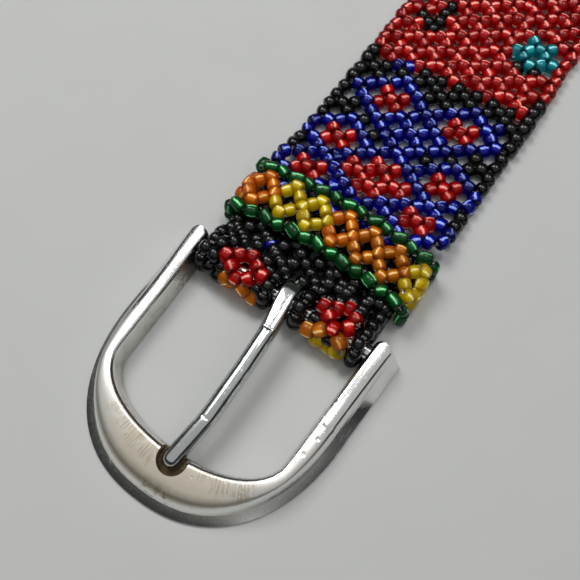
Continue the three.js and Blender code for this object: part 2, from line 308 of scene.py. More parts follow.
@dataclass(frozen=True)
class BeadGlass:
    """Seed-bead glass with a silvered hole: a dark body, painted highlight streaks along the bead, and painted shade at
    its ends and outline.

    Attributes:
        deep_shade: colour where the glass is thickest, also used as painted shade at the bead's ends, outline and unlit
            side.
        body: colour of the lit body.
        streak: colour of the painted highlight streaks, which stand in for lamps seen in the silvered hole.
        glow: strength of the emission that makes the bead shine on its own, a painted stand-in for light coming back
            out through the clear glass.
        shine: strength of the painted highlight streaks.
        coat: strength of the clear outer shine.
        gloss: strength of the plain reflection.
        width: the painted highlight streaks' half width, as a share of the way to the next.
    """

    glass: Glass
    deep_shade: tuple[float, float, float]
    body: tuple[float, float, float]
    streak: tuple[float, float, float]
    glow: float = 0.14
    shine: float = 1.0
    coat: float = 0.12
    gloss: float = 0.22
    width: float = 0.11
    roughness: float = 0.16

    def material(self) -> bpy.types.Material:
        """Build the finish."""
        material, graph, shader = start_material(self.glass.value)
        tone = graph.node("ShaderNodeAttribute", attribute_name="tone").outputs["Fac"]
        lining = graph.group(EFFECTS.lining, Streaks=3.0, Width=self.width, Tone=1.0)
        place = graph.node("ShaderNodeTexCoord").outputs["Object"]
        cloud = graph.noise(place, 900.0, 2.0)
        share = graph.math("ADD", graph.math("MULTIPLY", tone, 0.55), graph.math("MULTIPLY", cloud, 0.5))
        # Each bead's random tone, brightened by painted light round the highlight streaks.
        lit = graph.math("MULTIPLY", share, graph.math("ADD", lining.outputs["Glow"], 0.25), clamp=True)
        body = graph.mix(lit, (*self.deep_shade, 1), (*self.body, 1))
        # Painted shade: darker towards the bead's ends and where the surface turns away from the view, standing in for
        # light lost in thicker glass.
        body = graph.mix(graph.math("MULTIPLY", lining.outputs["Ends"], 0.6), body, (*self.deep_shade, 1))
        outline_shade = graph.node("ShaderNodeLayerWeight", {"Blend": 0.5}).outputs["Facing"]
        body = graph.mix(graph.ramp(outline_shade, 0.2, 0.8), body, (*self.deep_shade, 1))
        # Painted highlight streaks, stronger on lighter-toned beads.
        highlight_share = graph.math("MULTIPLY", lining.outputs["Streak"], graph.math("MULTIPLY", self.shine, graph.math("ADD", tone, 0.35)), clamp=True)
        colour = graph.mix(highlight_share, body, (*self.streak, 1))
        graph.tree.links.new(colour, shader.inputs["Base Color"])
        # The painted colour, highlights included, is also given as emission: painted light standing in for light coming
        # back out through the glass.
        graph.tree.links.new(colour, shader.inputs["Emission Color"])
        shader.inputs["Emission Strength"].default_value = self.glow
        shader.inputs["Specular IOR Level"].default_value = self.gloss
        rough = graph.math("ADD", self.roughness, graph.math("MULTIPLY", cloud, 0.12))
        graph.tree.links.new(rough, shader.inputs["Roughness"])
        shader.inputs["IOR"].default_value = 1.52
        shader.inputs["Coat Weight"].default_value = self.coat
        shader.inputs["Coat Roughness"].default_value = 0.05
        return material


BEAD_FINISHES = (
    BeadGlass(Glass.BLUE, (0.0, 0.0, 0.035), (0.001, 0.004, 0.38), (0.32, 0.44, 1.0)),
    BeadGlass(Glass.RED, (0.12, 0.0, 0.0), (0.72, 0.003, 0.003), (1.0, 0.40, 0.32)),
    BeadGlass(Glass.ORANGE, (0.30, 0.045, 0.0), (0.92, 0.26, 0.002), (1.0, 0.70, 0.22)),
    BeadGlass(Glass.AMBER, (0.20, 0.04, 0.0), (0.74, 0.22, 0.004), (1.0, 0.66, 0.22)),
    BeadGlass(Glass.YELLOW, (0.28, 0.17, 0.0), (0.84, 0.62, 0.002), (1.0, 0.95, 0.40)),
    BeadGlass(Glass.GREEN, (0.0, 0.018, 0.003), (0.002, 0.15, 0.02), (0.28, 0.90, 0.40)),
    BeadGlass(Glass.TEAL, (0.0, 0.05, 0.07), (0.01, 0.44, 0.50), (0.40, 1.0, 1.0)),
    BeadGlass(Glass.BLACK, (0.001, 0.001, 0.001), (0.003, 0.003, 0.004), (0.01, 0.01, 0.012), 0.0, 0.4, 0.2, 0.35),
)


@dataclass(frozen=True)
class SilverLining:
    """Silvering on the wall of a bead's hole."""

    colour: tuple[float, float, float] = (0.92, 0.90, 0.86)
    worn: tuple[float, float, float] = (0.50, 0.47, 0.42)

    def material(self) -> bpy.types.Material:
        """Build the finish."""
        material, graph, shader = start_material("lining")
        place = graph.node("ShaderNodeTexCoord").outputs["Object"]
        cloud = graph.ramp(graph.noise(place, 1500.0, 2.0), 0.4, 0.7)
        graph.tree.links.new(graph.mix(cloud, (*self.colour, 1), (*self.worn, 1)), shader.inputs["Base Color"])
        shader.inputs["Metallic"].default_value = 1.0
        graph.tree.links.new(graph.math("ADD", 0.18, graph.math("MULTIPLY", cloud, 0.2)), shader.inputs["Roughness"])
        return material


@dataclass(frozen=True)
class BeadingThread:
    """Fine clear thread through the beads."""

    colour: tuple[float, float, float] = (0.42, 0.42, 0.40)
    twist: float = 4000.0

    def material(self) -> bpy.types.Material:
        """Build the finish."""
        material, graph, shader = start_material("thread")
        place = graph.node("ShaderNodeTexCoord").outputs["Object"]
        fibre = graph.noise(place, self.twist, 2.0)
        dark = tuple(0.45 * c for c in self.colour)
        graph.tree.links.new(graph.mix(fibre, (*dark, 1), (*self.colour, 1)), shader.inputs["Base Color"])
        graph.tree.links.new(graph.math("ADD", 0.2, graph.math("MULTIPLY", fibre, 0.3)), shader.inputs["Roughness"])
        return material


Spot = tuple[tuple[float, float, float], float]


@dataclass(frozen=True)
class CastNickel:
    """Worn nickel on a casting: satin brushed front, polished rim and arms, tarnished walls.

    Attributes:
        scratched: places and radii of the mottled scratches beside the rim.
        warm: place and radius of the champagne tint.
        notch: place and radius of the brown tarnish in the notch.
        notch_top: heights between which that tarnish ends.
        burnt: place and radius of the brown patch inside the left arm, beside the bar.
        dents: places and radii of the small dents.
        front: from where along the belt to where the satin fades into the polished arms.
    """

    bright: tuple[float, float, float] = (0.82, 0.82, 0.80)
    satin: tuple[float, float, float] = (0.86, 0.84, 0.79)
    champagne: tuple[float, float, float] = (0.84, 0.76, 0.61)
    wall_tone: tuple[float, float, float] = (0.50, 0.47, 0.40)
    tarnish: tuple[float, float, float] = (0.14, 0.10, 0.055)
    brush_centre: tuple[float, float, float] = (0.0, -0.040, 0.0)
    front: tuple[float, float] = (-0.054, -0.046)
    scratched: tuple[Spot, ...] = (
        ((-0.0108, -0.0639, 0.0048), 0.0022),
        ((-0.0080, -0.0651, 0.0048), 0.0025),
        ((-0.0051, -0.0665, 0.0048), 0.0027),
        ((-0.0021, -0.0677, 0.0048), 0.0022),
        ((0.0077, -0.0645, 0.0048), 0.0024),
        ((0.0112, -0.0644, 0.0048), 0.0030),
        ((0.0144, -0.0637, 0.0048), 0.0028),
    )
    warm: Spot = ((0.0030, -0.0705, 0.0040), 0.0190)
    notch: Spot = ((0.0022, -0.0668, 0.0030), 0.0062)
    notch_top: tuple[float, float] = (0.0034, 0.0046)
    burnt: Spot = ((-0.0180, -0.0335, 0.0030), 0.0080)
    dents: tuple[Spot, ...] = (
        ((0.0196, -0.0473, 0.0046), 0.0007),
        ((0.0209, -0.0471, 0.0046), 0.0009),
        ((0.0221, -0.0428, 0.0046), 0.0006),
        ((0.0195, -0.0531, 0.0046), 0.0007),
        ((0.0191, -0.0423, 0.0046), 0.0005),
        ((0.0201, -0.0496, 0.0046), 0.0006),
    )

    def material(self) -> bpy.types.Material:
        """Build the finish."""
        material, graph, shader = start_material("cast_metal")
        coords = graph.node("ShaderNodeTexCoord")
        place = coords.outputs["Object"]
        facing = graph.node("ShaderNodeSeparateXYZ", {0: coords.outputs["Normal"]}).outputs[2]
        split = graph.node("ShaderNodeSeparateXYZ", {0: place})
        rim = graph.node("ShaderNodeAttribute", attribute_name="rim").outputs["Fac"]
        top = graph.ramp(facing, 0.45, 0.7)
        satin = graph.math("SUBTRACT", 1.0, graph.ramp(split.outputs[1], *self.front))
        flank = graph.node("ShaderNodeAttribute", attribute_name="flank").outputs["Fac"]
        bare = graph.math("SUBTRACT", 1.0, graph.math("MAXIMUM", rim, flank))
        satin = graph.math("MULTIPLY", graph.math("MULTIPLY", satin, top), bare)
        wall = graph.math("MULTIPLY", rim, graph.math("SUBTRACT", 1.0, graph.ramp(facing, -0.1, 0.5)))
        brushing = graph.group(EFFECTS.brushing, Place=place, Centre=self.brush_centre)
        scuffs = graph.group(EFFECTS.scuffs, Place=place, Amount=0.4, Pits=0.6)
        lines = graph.math("MULTIPLY", brushing.outputs["Lines"], satin)
        warm_spot, warm_radius = self.warm
        tint = graph.group(EFFECTS.stain, Place=place, Spot=warm_spot, Radius=warm_radius).outputs["Mask"]
        warm = graph.mix(tint, (*self.satin, 1), (*self.champagne, 1))
        colour = graph.mix(satin, (*self.bright, 1), warm)
        colour = graph.mix(graph.math("MULTIPLY", lines, 0.4), colour, (*[0.6 * c for c in self.satin], 1))
        colour = graph.mix(graph.math("MULTIPLY", wall, 0.8), colour, (*self.wall_tone, 1))
        grime = graph.ramp(graph.noise(place, 330.0, 4.0, 0.65), 0.46, 0.74)
        dull = graph.math("MULTIPLY", graph.math("MULTIPLY", wall, grime), 0.7)
        dull = graph.math("MAXIMUM", dull, graph.math("MULTIPLY", scuffs.outputs["Mask"], 0.3))
        streaky = graph.ramp(brushing.outputs["Lines"], 0.42, 0.58)
        for spot, radius in self.scratched:
            patch = graph.group(EFFECTS.stain, Place=place, Spot=spot, Radius=radius).outputs["Mask"]
            dull = graph.math("MAXIMUM", dull, graph.math("MULTIPLY", patch, graph.math("MULTIPLY", streaky, 0.42)))
        low = graph.math("SUBTRACT", 1.0, graph.ramp(split.outputs[2], *self.notch_top))
        for (spot, radius), share in ((self.notch, low), (self.burnt, wall)):
            patch = graph.group(EFFECTS.stain, Place=place, Spot=spot, Radius=radius).outputs["Mask"]
            dull = graph.math("MAXIMUM", dull, graph.math("MULTIPLY", patch, share))
        colour = graph.mix(dull, colour, (*self.tarnish, 1))
        graph.tree.links.new(colour, shader.inputs["Base Color"])
        shader.inputs["Metallic"].default_value = 1.0
        rough = graph.math("ADD", 0.17, graph.math("MULTIPLY", satin, 0.17))
        rough = graph.math("ADD", rough, graph.math("MULTIPLY", lines, 0.16))
        rough = graph.math("ADD", rough, graph.math("MULTIPLY", dull, 0.25))
        graph.tree.links.new(rough, shader.inputs["Roughness"])
        height = graph.math("ADD", graph.math("MULTIPLY", lines, 0.5), scuffs.outputs["Height"])
        for spot, radius in self.dents:
            dent = graph.group(EFFECTS.dent, Place=place, Spot=spot, Size=(radius, radius, 2 * radius))
            height = graph.math("SUBTRACT", height, graph.math("MULTIPLY", dent.outputs["Mask"], 2.5))
        bump = graph.node("ShaderNodeBump", {"Strength": 0.35, "Distance": 0.0001, "Height": height})
        graph.tree.links.new(bump.outputs[0], shader.inputs["Normal"])
        return material


@dataclass(frozen=True)
class PolishedSteel:
    """Polished steel of the prong, with hairlines, a little grey wear and a nick at each bend."""

    bright: tuple[float, float, float] = (0.66, 0.68, 0.67)
    worn: tuple[float, float, float] = (0.34, 0.35, 0.34)
    nicks: tuple[tuple[float, float, float], ...] = ((0.0021, -0.0388, 0.0077), (0.0028, -0.0578, 0.0064))
    nick_size: tuple[float, float, float] = (0.0011, 0.0005, 0.0014)

    def material(self) -> bpy.types.Material:
        """Build the finish."""
        material, graph, shader = start_material("polished_steel")
        place = graph.node("ShaderNodeTexCoord").outputs["Object"]
        scuffs = graph.group(EFFECTS.scuffs, Place=place, Amount=0.5, Pits=0.4)
        cloud = graph.noise(place, 420.0, 3.0)
        share = graph.math("ADD", graph.math("MULTIPLY", cloud, 0.3), graph.math("MULTIPLY", scuffs.outputs["Mask"], 0.4), clamp=True)
        graph.tree.links.new(graph.mix(share, (*self.bright, 1), (*self.worn, 1)), shader.inputs["Base Color"])
        shader.inputs["Metallic"].default_value = 1.0
        graph.tree.links.new(graph.math("ADD", 0.11, graph.math("MULTIPLY", share, 0.3)), shader.inputs["Roughness"])
        height = scuffs.outputs["Height"]
        for spot in self.nicks:
            nick = graph.group(EFFECTS.dent, Place=place, Spot=spot, Size=self.nick_size)
            height = graph.math("SUBTRACT", height, graph.math("MULTIPLY", nick.outputs["Mask"], 5.0))
        bump = graph.node("ShaderNodeBump", {"Strength": 0.3, "Distance": 0.0001, "Height": height})
        graph.tree.links.new(bump.outputs[0], shader.inputs["Normal"])
        return material


def finished_piece(name: str, mesh_source: bmesh.types.BMesh, body: str, slot: str, *nodes: str) -> bpy.types.Object:
    """Turn a bmesh into a piece of the belt.

    Args:
        name: the piece's name.
        mesh_source: its shape in metres, freed here.
        body: the CAD body that it rides on.
        slot: the record's material slot, whose finish it takes.
        nodes: the CAD nodes that it stands for.

    Returns:
        The object.
    """
    mesh = bpy.data.meshes.new(name)
    mesh_source.to_mesh(mesh)
    mesh_source.free()
    mesh.materials.append(FINISHES[slot])
    piece = bpy.data.objects.new(name, mesh)
    bpy.context.scene.collection.objects.link(piece)
    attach(piece, body)
    if nodes:
        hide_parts(*nodes)
    log.info("%s: %d faces on %s", name, len(mesh.polygons), body)
    return piece


@dataclass
class Bead:
    """One bead on its thread, in millimetres.

    Attributes:
        centre: its middle.
        along: the thread's direction.
        up: the net's outward side.
    """

    centre: Vector
    along: Vector
    up: Vector
    glass: Glass
    width: float = 3.15
    length: float = 2.4


@dataclass
class BeadStringer:
    """Makes beads and the thread through them, one mesh for each colour of a sub-assembly.

    Attributes:
        sides: faces round a bead.
        bore: the hole's share of a bead's width.
        loose: how far a bead strays from its place, in millimetres.
        tilt: how far it turns from the thread, in degrees.
        roll: how far its streaks stray round it, in degrees.
    """

    sides: int = 12
    bore: float = 0.3
    loose: float = 0.09
    tilt: float = 9.0
    roll: float = 14.0
    thread_radius: float = 0.11
    thread_extra: float = 1.1
    seed: int = 11
    draw: random.Random = field(init=False)

    def __post_init__(self) -> None:
        """Start the random draws."""
        self.draw = random.Random(self.seed)

    def template(self) -> bmesh.types.BMesh:
        """One bead of width 1 and length 1, its hole along Z, with a map around it."""
        mesh = bmesh.new()
        half = 0.5
        outer = [(0.30, 0.5), (0.455, 0.36), (half, 0.0), (0.455, -0.36), (0.30, -0.5)]
        profile = [(self.bore / 2, 0.44), *outer, (self.bore / 2, -0.44)]
        verts = [mesh.verts.new((x, 0, z)) for x, z in profile]
        edges = [mesh.edges.new((a, b)) for a, b in zip(verts, verts[1:] + verts[:1])]
        bmesh.ops.spin(
            mesh, geom=[*verts, *edges], cent=(0, 0, 0), axis=(0, 0, 1), angle=2 * math.pi,
            steps=self.sides, use_merge=True,
        )
        bmesh.ops.recalc_face_normals(mesh, faces=mesh.faces[:])
        around = mesh.loops.layers.uv.new("around")
        mesh.verts.layers.float.new("tone")
        for face in mesh.faces:
            face.smooth = True
            middle = face.calc_center_median()
            inner = math.hypot(middle.x, middle.y) < 0.6 * self.bore
            face.material_index = 1 if inner else 0
            base = math.atan2(middle.y, middle.x)
            for loop in face.loops:
                angle = math.atan2(loop.vert.co.y, loop.vert.co.x)
                turn = (angle - base + math.pi) % (2 * math.pi) - math.pi
                along = 0.0 if inner else loop.vert.co.z + 0.5
                loop[around].uv = ((base + turn) / (2 * math.pi), along)
        return mesh

    def placed(self, bead: Bead) -> Matrix:
        """Where a bead goes, loosened a little, as a matrix in metres."""
        stray = Vector([self.draw.gauss(0, self.loose) for _ in range(3)])
        along = bead.along.normalized()
        side = bead.up.cross(along).normalized()
        up = along.cross(side)
        turn = Matrix((side, up, along)).transposed().to_4x4()
        tilt = math.radians(self.tilt)
        lean = Matrix.Rotation(self.draw.gauss(0, tilt / 2), 4, "X") @ Matrix.Rotation(self.draw.gauss(0, tilt / 2), 4, "Y")
        roll = Matrix.Rotation(self.draw.gauss(0, math.radians(self.roll)), 4, "Z")
        grow = self.draw.uniform(0.95, 1.05)
        size = Matrix.Diagonal((bead.width * grow, bead.width * grow, bead.length * self.draw.uniform(0.94, 1.06), 1))
        return Matrix.Scale(MM, 4) @ Matrix.Translation(bead.centre + stray) @ turn @ lean @ roll @ size

    def string(self, name: str, beads: Iterable[Bead], body: str, node: str) -> None:
        """Make the pieces of one sub-assembly.

        Args:
            name: what the pieces' names start with.
            beads: the beads, with their places.
            body: the CAD body they ride on.
            node: the CAD node they stand for.
        """
        by_glass: dict[Glass, list[Matrix]] = {}
        threads = bmesh.new()
        for bead in beads:
            place = self.placed(bead)
            by_glass.setdefault(bead.glass, []).append(place)
            reach = (bead.length + self.thread_extra) / bead.length
            thin = Matrix.Diagonal((self.thread_radius / bead.width, self.thread_radius / bead.width, reach, 1))
            bmesh.ops.create_cone(
                threads, cap_ends=True, segments=5, radius1=1, radius2=1, depth=1, matrix=place @ thin,
            )
        for glass, places in by_glass.items():
            whole = self.template()
            first = whole.verts[:] + whole.edges[:] + whole.faces[:]
            tone = whole.verts.layers.float["tone"]
            copies = [[g for g in first if isinstance(g, bmesh.types.BMVert)]]
            for _ in places[1:]:
                made = bmesh.ops.duplicate(whole, geom=first)["geom"]
                copies.append([g for g in made if isinstance(g, bmesh.types.BMVert)])
            for verts, place in zip(copies, places):
                shade = self.draw.random()
                for vert in verts:
                    vert[tone] = shade
                bmesh.ops.transform(whole, matrix=place, verts=verts)
            piece = finished_piece(f"{name}_{glass.name.lower()}", whole, body, glass.value, node)
            piece.data.materials.append(FINISHES["lining"])
        for face in threads.faces:
            face.smooth = len(face.verts) == 4
        finished_piece(f"{name}_thread", threads, body, "thread", node)


@dataclass
class NetPath:
    """Side line of the bead net: flat, up a ramp on to the fold, over the bar and back under.

    Places along it are the distance from the bar where it lies above, and below 0 the way round
    the bar and back.
    """

    low: float = 1.3
    folded: float = 3.6
    ramp_start: float = 34.8
    ramp_end: float = 24.8
    rise_start: float = 8.2
    radius: float = 2.8

    def at(self, place: float) -> tuple[float, float, Vector]:
        """Distance from the bar, height and outward direction at a place on the path."""
        top = BAR_Z + self.radius
        if place >= 0:
            step = 0.05
            height = self.height(place, top)
            slope = (self.height(place + step, top) - height) / step
            return place, height, Vector((0, -slope, 1)).normalized()
        turn = -place / self.radius
        if turn < math.pi:
            out = Vector((0, -math.sin(turn), math.cos(turn)))
            return self.radius * out.y, BAR_Z + self.radius * out.z, out
        return -place - math.pi * self.radius, self.low, Vector((0, 0, -1))

    def height(self, reach: float, top: float) -> float:
        """Height of the upper run."""
        if reach > self.ramp_end:
            share = (self.ramp_start - reach) / (self.ramp_start - self.ramp_end)
            return self.low + (self.folded - self.low) * smooth_step(share)
        share = (self.rise_start - reach) / self.rise_start
        return self.folded + (top - self.folded) * smooth_step(share)

    def bead(self, x: float, place: float, across: float, on: float, glass: Glass, **size: float) -> Bead:
        """A bead on the path.

        Args:
            x: its place across the belt.
            place: its place on the path.
            across: how much its thread runs across the belt.
            on: how much its thread runs along the path.
            glass: its colour.
            size: width, length and lift, where they aren't the usual ones.

        Returns:
            The bead.
        """
        lift = size.pop("lift", 0.0)
        reach, height, out = self.at(place)
        onward = Vector((1, 0, 0)).cross(out) * -1
        along = Vector((across, 0, 0)) + onward * on
        centre = Vector((x, reach + BAR_Y, height)) + out * lift
        return Bead(centre, along, out, glass, **size)


@dataclass
class Lattice:
    """Places of the beads in a three-bead net.

    A cell is a column across and a row along. Holes are where column plus row is even, the shared
    beads where it is odd, and plain beads between them.
    """

    origin_x: float
    origin_place: float
    column: float = 4.021
    row: float = 2.705
    lean: float = 0.243

    def place(self, q: float, l: float) -> tuple[float, float]:
        """Place across and along the belt of a lattice point."""
        return self.origin_x + self.column * q, self.origin_place + self.row * l + self.lean * q

    def points(self, columns: tuple[float, float], rows: tuple[float, float]) -> Iterable[tuple[float, float, int]]:
        """Every bead between two columns and two rows.

        Args:
            columns: lowest and highest column.
            rows: lowest and highest row.

        Returns:
            Column, row, and 0 for a shared bead or the side that a plain bead's thread leans to.
        """
        for doubled_row in range(math.ceil(2 * rows[0]), math.floor(2 * rows[1]) + 1):
            for doubled_column in range(math.ceil(2 * columns[0]), math.floor(2 * columns[1]) + 1):
                q = doubled_column / 2
                l = doubled_row / 2
                if doubled_row % 2 and doubled_column % 2:
                    yield q, l, 1 if (int(q - 0.5) + int(l - 0.5)) % 2 else -1
                elif not doubled_row % 2 and not doubled_column % 2 and int(q + l) % 2:
                    yield q, l, 0


@dataclass
class StrapNet:
    """The flat netted strap from the keeper band to its far end, with its woven pattern."""

    path: NetPath
    lattice: Lattice = field(default_factory=lambda: Lattice(-0.295, 43.294))
    first_row: float = -7.5
    last_row: float = 22.5
    red_from: float = 6.9
    flower_centres: tuple[tuple[int, int], ...] = ((2, 3), (-2, 3), (3, -2), (-3, -2), (3, -6), (-3, -6))
    diamond_centres: tuple[tuple[int, int], ...] = ((-1, -4), (1, -4), (0, -3), (0, -5))
    disc: tuple[float, float] = (3.2, 13.3)
    disc_radius: float = 5.6

    def black_spots(self) -> set[tuple[float, float]]:
        """Columns and rows of the black beads, drawn from the pattern."""
        side = [(4, 1), (3.5, 0.5), (3.5, 1.5), (4.5, 0.5), (4.5, 1.5), (4.5, 2.5), (2.5, 0.5), (1.5, -0.5)]
        spots = {(sign * q, l) for q, l in side for sign in (-1, 1)}
        border = {
            4.5: (-4.5, -3.5, -0.5, 0.5, 4.5),
            5: (-4, 0, 4),
            5.5: (-3.5, -2.5, -1.5, -0.5, 0.5, 1.5, 2.5, 3.5, 4.5),
            6: (-1, 1, 3),
            6.5: (-4.5, -1.5, -0.5, 0.5, 1.5, 2.5, 3.5, 4.5),
            7.5: (4.5,),
        }
        spots |= {(q, row) for row, columns in border.items() for q in columns}
        vee = {(-2.5, 11.5), (-3, 12), (-3.5, 12.5), (-2.5, 12.5), (-2.5, 13.5), (-2.5, 14.5), (2.5, 11.5), (3.5, 11.5)}
        return spots | vee

    def colour(self, q: float, l: float, black: set[tuple[float, float]]) -> Glass:
        """Glass of the bead at a column and row."""
        if (q, l) in black:
            return Glass.BLACK
        dq, dl = (q - self.disc[0]) * self.lattice.column, (l - self.disc[1]) * self.lattice.row
        if math.hypot(dq, dl) < self.disc_radius:
            return Glass.TEAL
        for cq, cl in (*self.flower_centres, *self.diamond_centres):
            if abs(q - cq) + abs(l - cl) <= 1 and (q == cq) == (l == cl):
                return Glass.RED
        return Glass.RED if l + 0.12 * abs(q) > self.red_from else Glass.BLUE

    def drift(self, l: float) -> tuple[float, float]:
        """How far the net has been pulled across and along at a row."""
        push = math.exp(-(((l - 5.5) / 2.6) ** 2))
        pull = smooth_step((l - 9) / 3)
        return 0.35 * push - 0.5 * pull, 1.3 * push - 0.4 * pull

    def beads(self) -> Iterable[Bead]:
        """The beads of the net and of its two edges."""
        black = self.black_spots()
        for q, l, side in self.lattice.points((-4, 4), (self.first_row, self.last_row)):
            glass = self.colour(q, l, black)
            x, place = self.lattice.place(q, l)
            dx, dy = self.drift(l)
            big = 1.06 if glass is Glass.RED and l > self.red_from else 1.0
            lift = 0.0 if side else 0.12
            yield self.path.bead(
                x + dx, place + dy, 1.0, 0.9 * side, glass, lift=lift, width=3.2 * big, length=2.45 * big,
            )
        yield from self.edge_beads(black)

    def edge_beads(self, black: set[tuple[float, float]]) -> Iterable[Bead]:
        """Two beads round each hole at the strap's sides."""
        for side in (-1, 1):
            last = 7 if side < 0 else 9
            for hole in range(-6, 23, 2):
                dark = hole in (-4, 0, 2, 4, 6, 8) and hole <= last
                glass = Glass.BLACK if dark else (Glass.RED if hole > last else Glass.BLUE)
                big = 1.12 if dark and hole >= 4 else 1.0
                for half in (-1, 1):
                    l = hole + 0.47 * half
                    x, place = self.lattice.place(side * 4.58, l)
                    dx, dy = self.drift(l)
                    yield self.path.bead(
                        x + 0.5 * dx, place + dy, -0.5 * half * side, 1.0, glass, width=3.1 * big, length=2.5 * big,
                    )


@dataclass
class FoldLobe:
    """One half of the net's folded end, round the bar, with a red ring on its crown."""

    path: NetPath
    ring_x: float
    ring_place: float
    inner: float
    outer: float
    ember: Glass
    ember_from: float = -0.75
    ember_to: float = 1.25
    first_place: float = 9.0
    last_place: float = -32.5
    edge_room: float = 0.9
    edge_step: float = 2.4
    plain_length: float = 2.4
    ember_length: float = 2.9

    def colour(self, q: float, l: float) -> Glass:
        """Glass of a bead by its columns and rows from the ring's middle."""
        if abs(q) + abs(l) <= 1:
            return Glass.RED
        if -3 <= l <= -1.5 and self.ember_from <= q <= self.ember_to:
            return Glass.AMBER if l > -2.25 else self.ember
        return Glass.BLACK

    def beads(self) -> Iterable[Bead]:
        """The lobe's beads, from under the keeper band round the bar and back."""
        lattice = Lattice(self.ring_x, self.ring_place, lean=0.0)
        low = min(self.inner, self.outer) + self.edge_room
        high = max(self.inner, self.outer) - self.edge_room
        rows = ((self.last_place - self.ring_place) / lattice.row, (self.first_place - self.ring_place) / lattice.row)
        clear = 0.5 * lattice.column - 0.35
        columns = ((low + clear - self.ring_x) / lattice.column, (high - clear - self.ring_x) / lattice.column)
        for q, l, side in lattice.points(columns, rows):
            x, place = lattice.place(q, l)
            glass = self.colour(q, l)
            length = self.plain_length if glass in (Glass.BLACK, Glass.RED) else self.ember_length
            yield self.path.bead(x, place, 1.0, 0.9 * side, glass, lift=0.0 if side else 0.1, length=length)
        yield from self.inner_layer(lattice, columns)
        for x in (low, high):
            for step in range(int((self.first_place - self.last_place) / self.edge_step)):
                yield self.path.bead(x, self.first_place - self.edge_step * step, 0.0, 1.0, Glass.BLACK, width=2.7)


    def inner_layer(self, lattice: Lattice, columns: tuple[float, float]) -> Iterable[Bead]:
        """Black beads of the fold's inner layer, which show through the net round the ring."""
        for l in range(-3, 2):
            for q in range(math.ceil(columns[0]), math.floor(columns[1]) + 1):
                if (q + l) % 2 == 0 and (q, l) != (0, 0):
                    x, place = lattice.place(q, l)
                    yield self.path.bead(x, place, 1.0, 0.0, Glass.BLACK, lift=-0.5, width=2.2)


@dataclass
class FoldBack:
    """The plain stretch of net between the lobes and the strap, under the keeper band."""

    path: NetPath
    half: float = 18.0

    def beads(self) -> Iterable[Bead]:
        """Black beads, with blue ones where the strap's pattern starts."""
        lattice = Lattice(-0.295, 43.294)
        for q, l, side in lattice.points((-4, 4), (-14.5, -7.75)):
            x, place = lattice.place(q, l)
            glass = Glass.BLUE if l > -9 or (q, l) == (-2, -13) else Glass.BLACK
            yield self.path.bead(x * self.half / 19.7 * 1.05, place, 1.0, 0.9 * side, glass)


@dataclass
class KeeperBand:
    """The sewn band over the fold: one row of rings with a green edging on both sides."""

    middle: float = 16.95
    bow: float = 1.7
    flat_half: float = 17.65
    corner: float = 1.9
    top: float = 6.1
    low: float = 1.15
    first_ring: float = -22.05
    pitch: float = 5.83
    ring_glass: tuple[Glass, ...] = (
        Glass.ORANGE, Glass.ORANGE, Glass.YELLOW, Glass.YELLOW, Glass.ORANGE, Glass.AMBER, Glass.AMBER,
        Glass.YELLOW, Glass.YELLOW,
    )

    def at(self, round_: float) -> tuple[float, float, Vector]:
        """Place across, height and outward direction at a distance round the band from its middle."""
        side = math.copysign(1, round_)
        far = abs(round_) - self.flat_half
        if far <= 0:
            return round_, self.top, Vector((0, 0, 1))
        quarter = self.corner * math.pi / 2
        if far < quarter:
            turn = far / self.corner
            out = Vector((side * math.sin(turn), 0, math.cos(turn)))
            return side * self.flat_half + self.corner * out.x, self.top - self.corner + self.corner * out.z, out
        down = self.top - self.corner - (far - quarter)
        return side * (self.flat_half + self.corner), down, Vector((side, 0, 0))

    def bead(self, round_: float, off: float, around: float, on: float, glass: Glass, **size: float) -> Bead | None:
        """A bead of the band, or None where it would be below the band's foot.

        Args:
            round_: distance round the band from its middle.
            off: distance along the strap from the band's middle line.
            around: how much its thread runs round the band.
            on: how much its thread runs along the strap.
            glass: its colour.
            size: width, length and lift, where they aren't the usual ones.
        """
        lift = size.pop("lift", 0.0)
        x, height, out = self.at(round_)
        if height < self.low:
            return None
        reach = self.middle - self.bow * (x / (self.flat_half + self.corner)) ** 2 + off
        across = Vector((0, 1, 0)).cross(out)
        along = across * around + Vector((0, 1, 0)) * on
        centre = Vector((x, reach + BAR_Y, height)) + out * lift
        return Bead(centre, along, out, glass, **size)

    def beads(self) -> Iterable[Bead]:
        """The rings' beads and the edging."""
        made: list[Bead | None] = []
        for k, glass in enumerate(self.ring_glass):
            ring = self.first_ring + self.pitch * k
            for side in (-1, 1):
                made.append(self.bead(ring, 3.2 * side, 1, 0, glass, width=2.6, length=2.5, lift=0.1))
                for half in (-1, 1):
                    made.append(self.bead(ring + 1.5 * half, 1.65 * side, 1, -side * half, glass, width=2.6))
                for half in (-1, 1):
                    made.append(self.bead(
                        ring + 1.4 * half, 5.3 * side, 1, -0.45 * side * half, Glass.GREEN,
                        width=2.5, length=3.3 if half < 0 else 2.6,
                    ))
            made.append(self.bead(ring + self.pitch / 2, 0.0, 0, 1, glass, width=2.6, length=2.5, lift=0.1))
        made.append(self.bead(-20.6, 6.0, 0.3, 1, Glass.GREEN, width=3.3, length=2.9))
        return [bead for bead in made if bead is not None]


